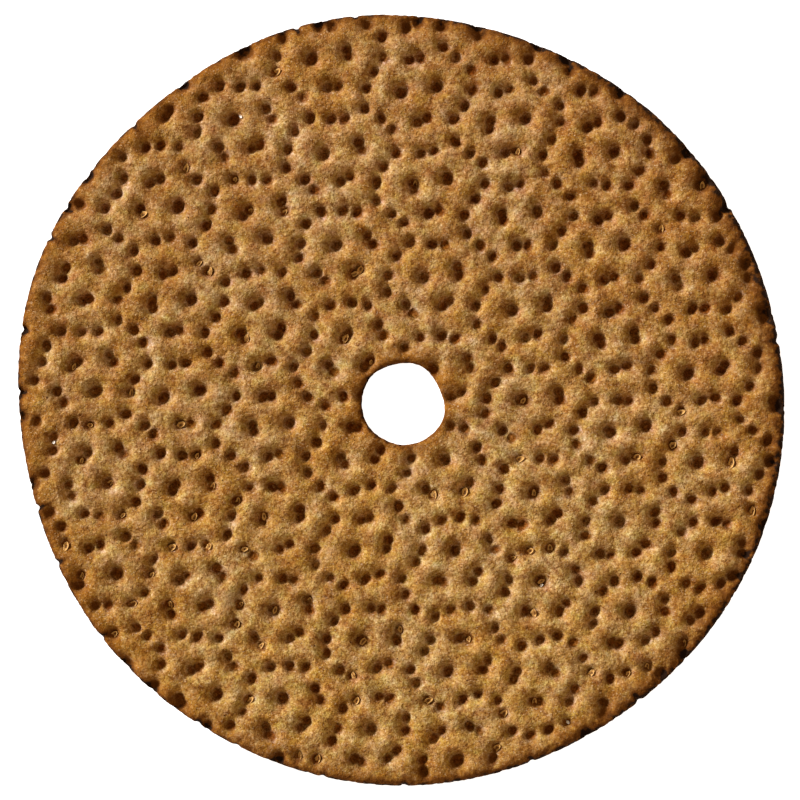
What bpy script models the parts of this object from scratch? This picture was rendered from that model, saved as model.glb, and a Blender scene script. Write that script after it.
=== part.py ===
"""Round crispbread with a hole near its middle, docked all over by two passes of a pin roller.

The bread lies on its flat underside, which is at z = 0, and the middle of its outline is over
the origin. Its shape is worked out in millimetres, and its mesh is made in metres.

Each pass of the roller leaves the same triangular grid of pin holes. The second grid is turned
against the first, so in some places two holes fall together in one wide bowl, and in others the
holes stand alone in short chains. The dough lies highest on the ridges between them.
"""

import math

import bmesh
import bpy
import numpy as np
from mathutils import Vector
from mathutils.geometry import delaunay_2d_cdt

MM = 0.001
SEED = 29

# Outline, seen from above.
RIM_RADIUS = 144.9
# Each wave of the outline: how many times it goes round, its height, the heading of a crest.
RIM_WAVES = (
    (1, 0.28, -4.0),
    (2, 0.90, -51.5),
    (3, 0.25, 10.0),
    (4, 0.30, -13.5),
    (5, 0.20, 27.0),
    (6, 0.50, -20.0),
    (7, 0.20, 5.0),
)
HOLE_RADIUS = 15.45
HOLE_CENTRE = (0.95, -1.3)
HOLE_WAVES = (
    (1, 0.30, -47.0),
    (2, 0.25, -40.0),
    (3, 0.20, -45.0),
    (4, 0.20, -26.5),
    (5, 0.15, -9.0),
)

# Section through the bread.
THICKNESS = 6.0
RIM_ROUND = 4.4
RIM_DROP = 3.1
RIM_UNDERCUT = 1.3
HOLE_ROUND = 3.0
HOLE_DROP = 2.4
HOLE_UNDERCUT = 0.7
THINNEST = 1.3
# Long swells of the top: wave length, height, heading of the wave.
SWELLS = (
    (97.0, 0.16, 20.0),
    (61.0, 0.12, 110.0),
    (43.0, 0.08, 65.0),
)

# The two passes of the pin roller: where a pin of each falls, the steps to the next pin along
# and across the roller as (length, heading), and how far the dough has drifted at the rim, for
# the square of x, for x times y and for the square of y.
FIRST_PASS = {
    "origin": (-0.85, 6.5),
    "along": (14.2, 18.9),
    "across": (13.3, -104.2),
    "drift": ((-2.3, -0.6), (-1.2, -2.2), (-1.7, 2.4)),
}
SECOND_PASS = {
    "origin": (-7.45, 0.9),
    "along": (13.0, -63.0),
    "across": (13.7, 56.3),
    "drift": ((-0.1, 0.7), (1.6, -0.1), (-0.8, 2.0)),
}
PIN_STRAY = 0.35
PINS_ALONE = 2.4
GRID_REACH = 24

# A pin presses a narrow oval pit and a wide shallow bowl. Bowls add up where pins stand close.
PIT_DEPTH = 2.0
PIT_REACH = 2.2
PIT_STEEPNESS = 2.7
PIT_SPREAD = 0.2
PIT_STRETCH = 0.15
DOUBLE_PIT_GROWTH = 1.2
PIT_BLEND = 4.0
BOWL_DEPTH = 1.4
BOWL_REACH = 3.75
MOST_BOWLS = 2.2
PIN_CLEARANCE = 0.3

# A pin hole at the rim bites into the outline.
BITE_DEPTH = 1.3
BITE_REACH = 2.4
BITE_HALF_WIDTH = 1.8
LEAST_BITE = 0.45
BITE_SHARES = (0.1, 1.0)

# Spacing of the mesh.
RIM_STEPS = 140
CORNER_SHARE = 0.8
HOLE_STEPS = 36
OUTLINE_SAMPLES = 2880
RIM_ROW = 1.3
HOLE_ROW = 1.4
EDGE_CLEARANCE = 0.9
PIT_SIDES = 5
MOUTH_RADIUS = 2.5
MOUTH_TURN = 2.4
RIDGE_SPACING = 4.6
RIDGE_CLEARANCE = 5.1
NEAREST_POINTS = 1.5
UNDERSIDE_SPACING = 30.0

CRUST_COLOUR = (0.36, 0.185, 0.065, 1.0)
CRUST_ROUGHNESS = 0.85


def step_vector(length, heading):
    """A step as x and y, from its length and its heading in degrees."""
    return np.array([length * math.cos(math.radians(heading)),
                     length * math.sin(math.radians(heading))])


def wavy_radius(mean_radius, waves, angles):
    """The radius of a wavy round outline at the given angles, in radians."""
    radius = np.full(np.shape(angles), mean_radius)
    for count, height, heading in waves:
        radius = radius + height * np.cos(count * (angles - math.radians(heading)))
    return radius


def pass_of_pins(docking, draw):
    """The places of one pass's pins, on a grid that drifts a little towards the rim."""
    along = step_vector(*docking["along"])
    across = step_vector(*docking["across"])
    reach = range(-GRID_REACH, GRID_REACH + 1)
    cells = np.array([(i, j) for i in reach for j in reach], dtype=float)
    grid = np.array(docking["origin"]) + cells[:, :1] * along + cells[:, 1:] * across
    grid = grid[np.hypot(grid[:, 0], grid[:, 1]) < RIM_RADIUS + 4.0 * BITE_REACH]
    x, y = (grid / RIM_RADIUS).T
    drift = np.stack([x * x, x * y, y * y], axis=1) @ np.array(docking["drift"])
    return grid + drift + draw.normal(0.0, PIN_STRAY, grid.shape)


def merge_double_hits(pins):
    """Pins of the two passes that fall in one hole become one pin of double weight."""
    places = []
    weights = []
    for pin in pins:
        gaps = [math.dist(pin, place) for place in places]
        if gaps and min(gaps) < PINS_ALONE:
            twin = gaps.index(min(gaps))
            places[twin] = (places[twin] + pin) / 2.0
            weights[twin] = 2.0
        else:
            places.append(pin)
            weights.append(1.0)
    return np.array(places), np.array(weights)


def outline_bites(pins, draw):
    """The angle and depth of each bite that a pin hole takes out of the rim."""
    angles = np.arctan2(pins[:, 1], pins[:, 0])
    gaps = wavy_radius(RIM_RADIUS, RIM_WAVES, angles) - np.hypot(pins[:, 0], pins[:, 1])
    depths = BITE_DEPTH * (1.0 - np.abs(gaps) / BITE_REACH) * draw.uniform(*BITE_SHARES, len(pins))
    biting = depths > LEAST_BITE
    return np.stack([angles[biting], depths[biting]], axis=1)


class Crust:
    """The pins that reach the bread and the height of the crust that they leave."""

    def __init__(self):
        draw = np.random.default_rng(SEED)
        pins = np.concatenate([pass_of_pins(docking, draw) for docking in (FIRST_PASS, SECOND_PASS)])
        pins, weights = merge_double_hits(pins)
        self.bites = outline_bites(pins, draw)
        self.shift = np.zeros(2)
        self.shift = self.outline_middle()
        inside = self.rim_distance(pins) > PIN_CLEARANCE
        inside &= self.hole_distance(pins) > PIN_CLEARANCE
        self.pins = pins[inside]
        self.weights = weights[inside]
        self.depths = PIT_DEPTH * draw.normal(1.0, PIT_SPREAD, len(self.pins))
        self.reaches = PIT_REACH * DOUBLE_PIT_GROWTH ** (self.weights - 1.0)
        self.stretches = 1.0 + PIT_STRETCH * draw.uniform(0.0, 1.0, len(self.pins))
        headings = draw.uniform(0.0, math.pi, len(self.pins))
        self.cosines = np.cos(headings)
        self.sines = np.sin(headings)

    def rim_radius(self, angles):
        """The rim's radius, with the bites of the pin holes."""
        radius = wavy_radius(RIM_RADIUS, RIM_WAVES, angles)
        for bite_angle, depth in self.bites:
            turn = (angles - bite_angle + math.pi) % (2.0 * math.pi) - math.pi
            across = np.minimum(np.abs(turn) * RIM_RADIUS / BITE_HALF_WIDTH, 1.0)
            radius = radius - depth * (0.5 + 0.5 * np.cos(math.pi * across))
        return radius

    def hole_radius(self, angles):
        """The hole's radius round its own centre."""
        return wavy_radius(HOLE_RADIUS, HOLE_WAVES, angles)

    def outline_middle(self):
        """The middle of the box round the outline."""
        angles = np.linspace(0.0, 2.0 * math.pi, OUTLINE_SAMPLES, endpoint=False)
        radius = self.rim_radius(angles)
        outline = np.stack([radius * np.cos(angles), radius * np.sin(angles)], axis=1)
        return (outline.max(axis=0) + outline.min(axis=0)) / 2.0

    def rim_distance(self, points):
        """How far each point is inside the rim."""
        angles = np.arctan2(points[:, 1], points[:, 0])
        return self.rim_radius(angles) - np.hypot(points[:, 0], points[:, 1])

    def hole_distance(self, points):
        """How far each point is outside the hole."""
        offset = points - np.array(HOLE_CENTRE)
        angles = np.arctan2(offset[:, 1], offset[:, 0])
        return np.hypot(offset[:, 0], offset[:, 1]) - self.hole_radius(angles)

    def pit_gaps(self, points):
        """How far each point is from each pin, less along the way in which its pit is oval."""
        x = points[:, None, 0] - self.pins[:, 0]
        y = points[:, None, 1] - self.pins[:, 1]
        along = (x * self.cosines + y * self.sines) / self.stretches
        across = (y * self.cosines - x * self.sines) * self.stretches
        return np.hypot(along, across)

    def height(self, points):
        """The height of the top crust above the underside at each point."""
        height = np.full(len(points), THICKNESS - sum(swell[1] for swell in SWELLS))
        for length, rise, heading in SWELLS:
            along = points @ step_vector(1.0, heading)
            height += rise * np.sin(2.0 * math.pi * along / length)
        height -= rounded_edge(self.rim_distance(points), RIM_ROUND, RIM_DROP)
        height -= rounded_edge(self.hole_distance(points), HOLE_ROUND, HOLE_DROP)
        gaps = np.hypot(points[:, None, 0] - self.pins[:, 0], points[:, None, 1] - self.pins[:, 1])
        bowls = (self.weights * np.exp(-(gaps / BOWL_REACH) ** 2)).sum(axis=1)
        height -= BOWL_DEPTH * np.minimum(bowls, MOST_BOWLS)
        pits = self.depths * np.exp(-(self.pit_gaps(points) / self.reaches) ** PIT_STEEPNESS)
        height -= (pits ** PIT_BLEND).sum(axis=1) ** (1.0 / PIT_BLEND)
        return np.maximum(height, THINNEST)


def rounded_edge(distance, width, drop):
    """How far a quarter-round edge has dropped at a distance from it."""
    share = np.clip(1.0 - distance / width, 0.0, 1.0)
    return drop * (1.0 - np.sqrt(1.0 - share ** 2))


def spread_out(points, taken, gap):
    """Those of the points, in order, that keep the gap to the taken ones and to each other."""
    kept = [Vector((x, y)) for x, y in taken]
    cells = {}

    def cell_of(place):
        return int(place.x // gap), int(place.y // gap)

    for place in kept:
        cells.setdefault(cell_of(place), []).append(place)
    chosen = []
    for x, y in points:
        place = Vector((x, y))
        column, row = cell_of(place)
        near = [other for i in (-1, 0, 1) for j in (-1, 0, 1)
                for other in cells.get((column + i, row + j), ())]
        if all((place - other).length >= gap for other in near):
            cells.setdefault((column, row), []).append(place)
            chosen.append((x, y))
    return np.array(chosen).reshape(-1, 2)


def triangle_grid(spacing, radius):
    """The points of a triangular grid that covers a circle round the origin."""
    rows = int(radius / spacing) + 2
    points = [((i + 0.5 * (j % 2)) * spacing, j * spacing * math.sqrt(0.75))
              for j in range(-rows - rows // 4, rows + rows // 4) for i in range(-rows, rows + 1)]
    return np.array([point for point in points if math.hypot(*point) < radius])


def rim_angles(crust):
    """The angles of the outline's corners: evenly spaced, with three more at each bite.

    A corner is left out where it would be nearer to another than a share of a bite's half width.
    """
    half_width = BITE_HALF_WIDTH / RIM_RADIUS
    corners = [angle + side * half_width
               for angle, depth in crust.bites for side in (0.0, -1.0, 1.0)]
    even = [2.0 * math.pi * step / RIM_STEPS for step in range(RIM_STEPS)]
    angles = []
    least = CORNER_SHARE * half_width
    for angle in corners + even:
        angle %= 2.0 * math.pi
        turns = [abs((angle - other + math.pi) % (2.0 * math.pi) - math.pi) for other in angles]
        if not turns or min(turns) >= least:
            angles.append(angle)
    return np.array(sorted(angles))


def ring(centre, radius, angles):
    """Points at a radius, one for all or one each, round a centre."""
    return np.stack([centre[0] + radius * np.cos(angles), centre[1] + radius * np.sin(angles)], axis=1)


def crust_points(crust, rim, hole):
    """The inner points of the top: pit bottoms, their mouths, the rounded edges and the ridges."""
    rim_turns = rim_angles(crust)[::2]
    rows = [ring((0, 0), crust.rim_radius(rim_turns) - RIM_ROW, rim_turns)]
    hole_turns = np.linspace(0.0, 2.0 * math.pi, HOLE_STEPS // 2, endpoint=False)
    rows.append(ring(HOLE_CENTRE, crust.hole_radius(hole_turns) + HOLE_ROW, hole_turns))
    mouths = []
    for number, pin in enumerate(crust.pins):
        turns = MOUTH_TURN * number + np.arange(PIT_SIDES) * 2.0 * math.pi / PIT_SIDES
        mouths.append(ring(pin, MOUTH_RADIUS, turns))
    ridges = triangle_grid(RIDGE_SPACING, RIM_RADIUS)
    gaps = np.hypot(ridges[:, None, 0] - crust.pins[:, 0], ridges[:, None, 1] - crust.pins[:, 1])
    ridges = ridges[gaps.min(axis=1) > RIDGE_CLEARANCE]
    edges = np.concatenate([rim, hole])
    candidates = np.concatenate([crust.pins] + rows + mouths + [ridges])
    inside = crust.rim_distance(candidates) > EDGE_CLEARANCE
    inside &= crust.hole_distance(candidates) > EDGE_CLEARANCE
    return spread_out(candidates[inside], edges, NEAREST_POINTS)


def plan_triangles(rim, hole, inner):
    """Triangles in plan between the rim and the hole through the inner points."""
    points = [Vector(point) for point in np.concatenate([rim, hole, inner])]
    rim_loop = list(range(len(rim)))
    hole_loop = list(range(len(rim), len(rim) + len(hole)))
    result = delaunay_2d_cdt(points, [], [rim_loop, hole_loop], 1, 1e-6)
    corners, faces, loops_round_face = result[0], result[2], result[5]
    if len(corners) != len(points):
        raise RuntimeError("the plan has points that coincide")
    return [face for face, loops in zip(faces, loops_round_face) if list(loops) == [0]]


def facing_up(face, points):
    """The face's corners in the order that turns to the left, seen from above."""
    a, b, c = (points[index] for index in face)
    turn = (b[0] - a[0]) * (c[1] - a[1]) - (b[1] - a[1]) * (c[0] - a[0])
    return face if turn > 0.0 else face[::-1]


def cap_faces(bm, shift, rim, hole, inner, heights, upward):
    """One side of the bread: its vertices and triangles. Returns its rim and hole vertices."""
    plan = np.concatenate([rim, hole, inner])
    verts = [bm.verts.new((x * MM, y * MM, z * MM)) for (x, y), z in zip(plan - shift, heights)]
    for face in plan_triangles(rim, hole, inner):
        face = facing_up(list(face), plan)
        bm.faces.new([verts[index] for index in (face if upward else face[::-1])])
    return verts[:len(rim)], verts[len(rim):len(rim) + len(hole)]


def wall_faces(bm, lower, upper, outward):
    """A wall of triangle pairs between two loops of vertices with the same count."""
    count = len(lower)
    for k in range(count):
        after = (k + 1) % count
        quad = [lower[k], lower[after], upper[after], upper[k]]
        if not outward:
            quad.reverse()
        bm.faces.new((quad[0], quad[1], quad[2]))
        bm.faces.new((quad[0], quad[2], quad[3]))


def crispbread_mesh():
    """The closed mesh of the bread."""
    crust = Crust()
    turns = rim_angles(crust)
    hole_turns = np.linspace(0.0, 2.0 * math.pi, HOLE_STEPS, endpoint=False)
    rim = ring((0, 0), crust.rim_radius(turns), turns)
    hole = ring(HOLE_CENTRE, crust.hole_radius(hole_turns), hole_turns)
    low_rim = ring((0, 0), crust.rim_radius(turns) - RIM_UNDERCUT, turns)
    low_hole = ring(HOLE_CENTRE, crust.hole_radius(hole_turns) + HOLE_UNDERCUT, hole_turns)

    bm = bmesh.new()
    top = crust_points(crust, rim, hole)
    heights = np.concatenate([
        np.full(len(rim), THICKNESS - RIM_DROP - sum(swell[1] for swell in SWELLS)),
        np.full(len(hole), THICKNESS - HOLE_DROP - sum(swell[1] for swell in SWELLS)),
        crust.height(top),
    ])
    top_rim, top_hole = cap_faces(bm, crust.shift, rim, hole, top, heights, upward=True)

    under = triangle_grid(UNDERSIDE_SPACING, RIM_RADIUS - UNDERSIDE_SPACING / 2.0)
    under = under[crust.hole_distance(under) > UNDERSIDE_SPACING / 4.0]
    flat = np.zeros(len(rim) + len(hole) + len(under))
    base_rim, base_hole = cap_faces(bm, crust.shift, low_rim, low_hole, under, flat, upward=False)

    wall_faces(bm, base_rim, top_rim, outward=True)
    wall_faces(bm, base_hole, top_hole, outward=False)
    mesh = bpy.data.meshes.new("crispbread")
    bm.to_mesh(mesh)
    bm.free()
    return mesh


def crust_material():
    """Baked rye crust: golden brown and dull."""
    material = bpy.data.materials.new("rye_crust")
    material.use_nodes = True
    shader = material.node_tree.nodes["Principled BSDF"]
    shader.inputs["Base Color"].default_value = CRUST_COLOUR
    shader.inputs["Roughness"].default_value = CRUST_ROUGHNESS
    shader.inputs["Metallic"].default_value = 0.0
    return material


def build():
    """The collection with the bread in it."""
    for old in list(bpy.data.objects):
        bpy.data.objects.remove(old)
    collection = bpy.data.collections.new("round_crispbread")
    bpy.context.scene.collection.children.link(collection)
    bread = bpy.data.objects.new("crispbread", crispbread_mesh())
    bread.data.materials.append(crust_material())
    collection.objects.link(bread)


build()
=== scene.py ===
"""Looks of the round crispbread: its docked crust, the bran flakes in its pits, and the studio.

Shapes are worked out in millimetres with the same named sizes as the solid, and the meshes are
made in metres. The crust replaces the solid with the same form at a finer spacing.
"""

from collections import namedtuple
import math

import bmesh
import bpy
import numpy as np
from mathutils import Matrix, Vector, noise
from mathutils.geometry import delaunay_2d_cdt

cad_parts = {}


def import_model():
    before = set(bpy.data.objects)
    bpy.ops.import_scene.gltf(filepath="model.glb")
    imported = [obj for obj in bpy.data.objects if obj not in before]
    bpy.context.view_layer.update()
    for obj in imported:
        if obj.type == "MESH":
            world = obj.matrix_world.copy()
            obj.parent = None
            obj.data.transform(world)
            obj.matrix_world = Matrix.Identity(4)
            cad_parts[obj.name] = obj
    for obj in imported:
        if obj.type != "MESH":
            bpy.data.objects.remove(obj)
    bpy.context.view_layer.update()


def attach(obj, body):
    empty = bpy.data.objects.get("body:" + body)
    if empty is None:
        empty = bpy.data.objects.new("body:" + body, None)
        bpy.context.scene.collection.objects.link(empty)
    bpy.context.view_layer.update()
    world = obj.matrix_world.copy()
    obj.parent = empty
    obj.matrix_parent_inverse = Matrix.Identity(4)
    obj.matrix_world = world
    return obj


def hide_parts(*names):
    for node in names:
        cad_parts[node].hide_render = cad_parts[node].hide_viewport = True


MM = 0.001
SEED = 29

# Outline, seen from above. Each wave: times round, height, heading of a crest.
RIM_RADIUS = 144.9
RIM_WAVES = (
    (1, 0.28, -4.0),
    (2, 0.90, -51.5),
    (3, 0.25, 10.0),
    (4, 0.30, -13.5),
    (5, 0.20, 27.0),
    (6, 0.50, -20.0),
    (7, 0.20, 5.0),
)
HOLE_RADIUS = 15.45
HOLE_CENTRE = (0.95, -1.3)
HOLE_WAVES = (
    (1, 0.30, -47.0),
    (2, 0.25, -40.0),
    (3, 0.20, -45.0),
    (4, 0.20, -26.5),
    (5, 0.15, -9.0),
)

# Section through the bread.
THICKNESS = 6.0
RIM_ROUND = 4.4
RIM_DROP = 3.1
RIM_UNDERCUT = 1.3
HOLE_ROUND = 3.0
HOLE_DROP = 2.4
HOLE_UNDERCUT = 0.7
THINNEST = 1.3
TALLEST = 5.79
# Long swells of the top: wave length, height, heading of the wave.
SWELLS = (
    (97.0, 0.16, 20.0),
    (61.0, 0.12, 110.0),
    (43.0, 0.08, 65.0),
)
# Low lumps in the dough: size, height.
LUMPS = (
    (4.5, 0.34),
    (2.1, 0.17),
)

# The two passes of the pin roller, as in the solid.
FIRST_PASS = {
    "origin": (-0.85, 6.5),
    "along": (14.2, 18.9),
    "across": (13.3, -104.2),
    "drift": ((-2.3, -0.6), (-1.2, -2.2), (-1.7, 2.4)),
}
SECOND_PASS = {
    "origin": (-7.45, 0.9),
    "along": (13.0, -63.0),
    "across": (13.7, 56.3),
    "drift": ((-0.1, 0.7), (1.6, -0.1), (-0.8, 2.0)),
}
# How far a pin strays, how close two pins become one, how many steps a grid goes each way, and
# how far past the rim its pins are kept.
PIN_STRAY = 0.35
PINS_ALONE = 2.4
GRID_REACH = 24
PINS_PAST_RIM = 9.6

# A pin presses a narrow oval pit and a wide shallow bowl. Bowls add up where pins stand close.
PIT_DEPTH = 2.0
PIT_REACH = 2.2
PIT_STEEPNESS = 2.7
PIT_SPREAD = 0.2
PIT_STRETCH = 0.15
DOUBLE_PIT_GROWTH = 1.2
PIT_BLEND = 4.0
BOWL_DEPTH = 1.4
BOWL_REACH = 3.75
MOST_BOWLS = 2.2
PIN_CLEARANCE = 0.3
# The share of a pin's press that is left right at an edge, and how far in it takes to be full.
EDGE_PRESS = 0.35
EDGE_PRESS_REACH = 1.0
# The walls of a pit wobble, and some pits are painted darker than others, as their crust's stain
# and as painted shade.
PIT_WOBBLE = 0.16
PIT_WOBBLE_SIZE = 2.2
PIT_STAIN_AND_SHADE_STRENGTHS = (0.78, 1.22)

# A pin hole at the rim bites into the outline.
BITE_DEPTH = 1.3
BITE_REACH = 2.4
BITE_HALF_WIDTH = 1.8
LEAST_BITE = 0.45
BITE_SHARES = (0.1, 1.0)

# The outline is frayed by fine chips, and stays inside the solid's.
RIM_FRAY = 0.45
RIM_FRAY_INSET = 0.18
LEAST_INSET = 0.05
HOLE_FRAY = 0.2
MOST_HOLE_CHIP = 0.1
FRAY_SIZE = 1.7
FRAY_OCTAVES = 3

# Fine mesh of the top: rings round each pin as (radius, points), turned on from pin to pin, rows
# in from the edges, and a jittered field between the pits.
PIT_RINGS = ((0.5, 6), (1.0, 10), (1.45, 14), (1.85, 16), (2.3, 16), (2.9, 14))
PIT_TURN = 2.399963
RIM_SPACING = 0.75
RIM_ROWS = (0.35, 0.9, 1.6, 2.5, 3.6)
RIM_GAP = 0.4
HOLE_GAP = 0.25
FIELD_SPACING = 1.5
FIELD_MARGIN = 2.0
FIELD_CLEARANCE = 3.1
FIELD_JITTER = 0.25
FIELD_PARTS = 20
NEAREST_POINTS = 0.4
WALL_ROWS = 4

# The underside: a coarser grid with low bumps, a little more toasted than the top.
UNDERSIDE_SPACING = 3.0
UNDERSIDE_RIM_GAP = 2.5
UNDERSIDE_HOLE_GAP = 2.0
UNDERSIDE_RELIEF = 0.55
UNDERSIDE_BUMPS = 11.0
UNDERSIDE_OCTAVES = 3
UNDERSIDE_TOAST = 0.10

# How the shapes are worked out.
ORIGIN = (0.0, 0.0)
OUTLINE_SAMPLES = 2880
NOISE_SLICE = 0.37
PLAN_TOLERANCE = 1e-6
INNER_TRIANGLES = 1
CHUNK = 4000

# How strongly the rim is baked, round the bread, with painted shade making it darkest on the right,
# away from the light, and how far in from an edge each colour goes.
RIM_BAKE_AND_SHADE = 0.94
RIM_BAKE_AND_SHADE_WAVES = (
    (1, 0.66, -5.0),
    (2, 0.17, 0.0),
    (3, 0.14, 37.0),
)
CHAR_REACH = 3.7
SCORCH = 1.35
SCORCH_REACH = 0.9
PIT_CHAR = 1.5
PIT_CHAR_REACH = 4.0
HOLE_CHAR = 0.55
HOLE_CHAR_REACH = 3.0
# A thin scorched line round the hole, with painted shade on its left, where its edge is turned from
# the light.
HOLE_SCORCH_AND_SHADE = 0.80
HOLE_SCORCH_AND_SHADE_WAVES = ((1, 0.80, 182.0),)
BITE_CHAR = 2.8
BITE_CHAR_REACH = 2.2
WALL_BAKE = 1.2
EDGE_REACH = 5.0
# Toast: more along the edges and towards a heading. Each patch: x, y, reach, how much more.
TOAST = 0.18
TOAST_REACH = 15.0
HOLE_TOAST = 0.14
BAKE_HEADING = 60.0
BAKE_SPAN = 0.09
TOAST_PATCHES = (
    (56.0, -42.0, 34.0, -0.12),
    (-22.0, -46.0, 28.0, -0.21),
    (38.0, -98.0, 40.0, -0.10),
    (8.0, -126.0, 25.0, -0.06),
    (-20.0, 112.0, 38.0, -0.08),
    (-112.0, -62.0, 32.0, 0.12),
    (112.0, 66.0, 45.0, 0.13),
    (-95.0, 30.0, 50.0, 0.07),
    (-46.0, 12.0, 22.0, 0.08),
    (62.0, 110.0, 35.0, 0.05),
)

# Bran flakes caught in the pits, more of them low and left, and a few white ones that glint.
FLAKES = 75
FLAKE_CROWDING = 0.9
FLAKES_BELOW = -0.1
FLAKES_LEFT_OF = -0.35
FLAKE_EDGE_GAP = 4.0
FLAKE_OFFSETS = (0.1, 1.0)
FLAKE_OFFSET_HEADINGS = (-90.0, 20.0)
FLAKE_HEADING = 60.0
FLAKE_TURN = 40.0
FLAKE_LIFTS = (-0.35, 0.12)
GLINTS = ((-60.4, 107.0), (-21.5, 22.7), (-131.0, -16.0), (63.0, -121.5), (53.0, -70.0))
GLINT_LENGTH = 1.5
GLINT_SLIMNESS = 0.7
GLINT_HEADINGS = (0.0, 180.0)
# A flake's shape: a leaf that is cupped, blunt at its tips and torn along its sides.
FLAKE_LENGTHS = (2.6, 4.4)
FLAKE_SLIMNESS = (0.45, 0.65)
FLAKE_THICKNESS = 0.18
FLAKE_CUP = 0.26
FLAKE_TIP = 0.12
FLAKE_TAPER = 0.6
FLAKE_TEAR = 0.09
FLAKE_TEAR_TURN = 4.0
FLAKE_TEAR_START = 5.0
FLAKE_FOOT = 0.3
FLAKE_GRID = (11, 7)
SLOPE_STEP = 0.8

# Camera: straight above, a long lens, the frame's width on the plane of the outline.
FRAME_WIDTH = 302.2
LENS = 105.0
SENSOR = 36.0
OUTLINE_PLANE = 2.0
CAMERA_REACH = 10.0

# Light: soft, rather low, from the upper left.
SUN_HEADING = 148.0
SUN_HEIGHT = 21.0
SUN_STRENGTH = 4.6
SUN_SOFTNESS = 9.0
SUN_COLOUR = (1.0, 1.0, 1.03)
SKY_STRENGTH = 0.40
SKY_COLOUR = (1.0, 0.765, 0.48, 1.0)

# Floor, in metres. It glows a little, so that it stays pale round the bread.
FLOOR_SIZE = 6.0
FLOOR_DROP = 0.0003
FLOOR_COLOUR = (0.95, 0.95, 0.95, 1.0)
FLOOR_ROUGHNESS = 0.9
FLOOR_GLOW = 1.0
WHITE = (1.0, 1.0, 1.0, 1.0)

# Colours of the crust. The tints multiply what lies under them.
GOLD = (0.455, 0.213, 0.033, 1.0)
TAN = (0.50, 0.271, 0.063, 1.0)
TOASTED = (0.355, 0.143, 0.020, 1.0)
ORANGE = (0.35, 0.130, 0.011, 1.0)
# Painted shade: a warm brown laid into the bowls, fuller where they are deeper.
BOWL_SHADE_BROWN = (0.24, 0.090, 0.017, 1.0)
RUST_TINT = (0.56, 0.42, 0.33, 1.0)
PALE_TINT = (1.25, 1.475, 2.0, 1.0)
FULL_TINT = (0.99, 1.0, 0.74, 1.0)
DULL_TINT = (1.01, 0.995, 1.27, 1.0)
RED_TINT = (1.05, 0.97, 0.97, 1.0)
OLIVE_TINT = (0.95, 1.03, 1.02, 1.0)
LOWER_TINT = (1.0, 1.02, 0.91, 1.0)
UPPER_TINT = (1.0, 0.985, 1.04, 1.0)
DARK_GRAIN = (0.56, 0.44, 0.26, 1.0)
LIGHT_GRAIN = (1.43, 1.65, 2.60, 1.0)
MEAN_GRAIN = (0.98, 1.0, 1.20, 1.0)
MEAL = (0.76, 0.55, 0.330, 1.0)
BRAN = (0.12, 0.048, 0.011, 1.0)
FLOUR = (0.75, 0.52, 0.29, 1.0)
# Painted shade: tiny pores, which have no hole in the mesh, are painted near black.
PORE_SHADE = (0.07, 0.022, 0.008, 1.0)
# The pit shade and pit tint are partly the pits' darker crust and partly painted shade, reddened
# like light bounced inside a pit.
PIT_SHADE = (0.59, 0.47, 0.31, 1.0)
PIT_TINT_AND_SHADE = (0.80, 0.56, 0.26, 1.0)
DARK_FLECK = (0.48, 0.44, 0.34, 1.0)
LIGHT_FLECK = (1.38, 1.56, 2.60, 1.0)
CRUMB = (0.35, 0.20, 0.080, 1.0)
RIM_BROWN = (0.15, 0.048, 0.006, 1.0)
CHAR = (0.018, 0.010, 0.007, 1.0)

# Noises of the crust: size of a speck, octaves and, where it isn't the usual, roughness.
BROAD_NOISE = (26.0, 3.0)
TOAST_NOISE = (10.0, 4.0)
HUE_NOISE = (4.8, 3.0, 0.6)
WARMTH_NOISE = (4.3, 3.0, 0.6)
GRAIN_NOISE = (0.7, 3.0, 1.0)
MEAL_NOISE = (0.75, 2.0, 0.6)
BRAN_NOISE = (0.85, 2.0, 0.6)
DUST_NOISE = (9.0, 3.0)
DUST_GRAIN_NOISE = (1.3, 2.0)
RAGGED_NOISE = (2.4, 3.0)
FLECK_NOISE = (1.2, 3.0, 0.7)
# Mottles of three sizes: size of a speck, how strong. Then the octaves and roughness of all.
MOTTLES = ((7.5, 0.4), (3.3, 0.68), (1.7, 0.78))
MOTTLE_NOISE = (3.0, 0.6)
# Bumps of three sizes: size, height. Then the octaves and roughness of all.
BUMPS = ((2.6, 1.1), (1.1, 0.6), (0.5, 0.25))
BUMP_NOISE = (2.0, 0.6)
BUMP_STRENGTH = 0.6
# Specks: size of the cells, the share of them that hold one, radius.
SHADED_PORES = (4.4, 0.35, 0.42)
CRUMBS = (1.9, 0.5, 0.55)
# Fibres: heading, length, width, the share of the cells that hold one.
FIBRES = (
    (40.0, 1.9, 0.42, 0.07),
    (125.0, 1.7, 0.40, 0.06),
)
FIBRE_STRENGTH = 0.6
# How far from a fibre's middle it fades out and is full, in cells.
FIBRE_RANGE = (0.42, 0.22)
# The share of a speck's radius that is full, and of the holding cells that hold it softly.
SPECK_CORE = 0.4
FAINT_SPECKS = 0.1
# How far meal, specks and fibres are bent out of line, and the size of the bends.
GRIT_BEND = 0.9
GRIT_BEND_SIZE = 1.2

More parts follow.
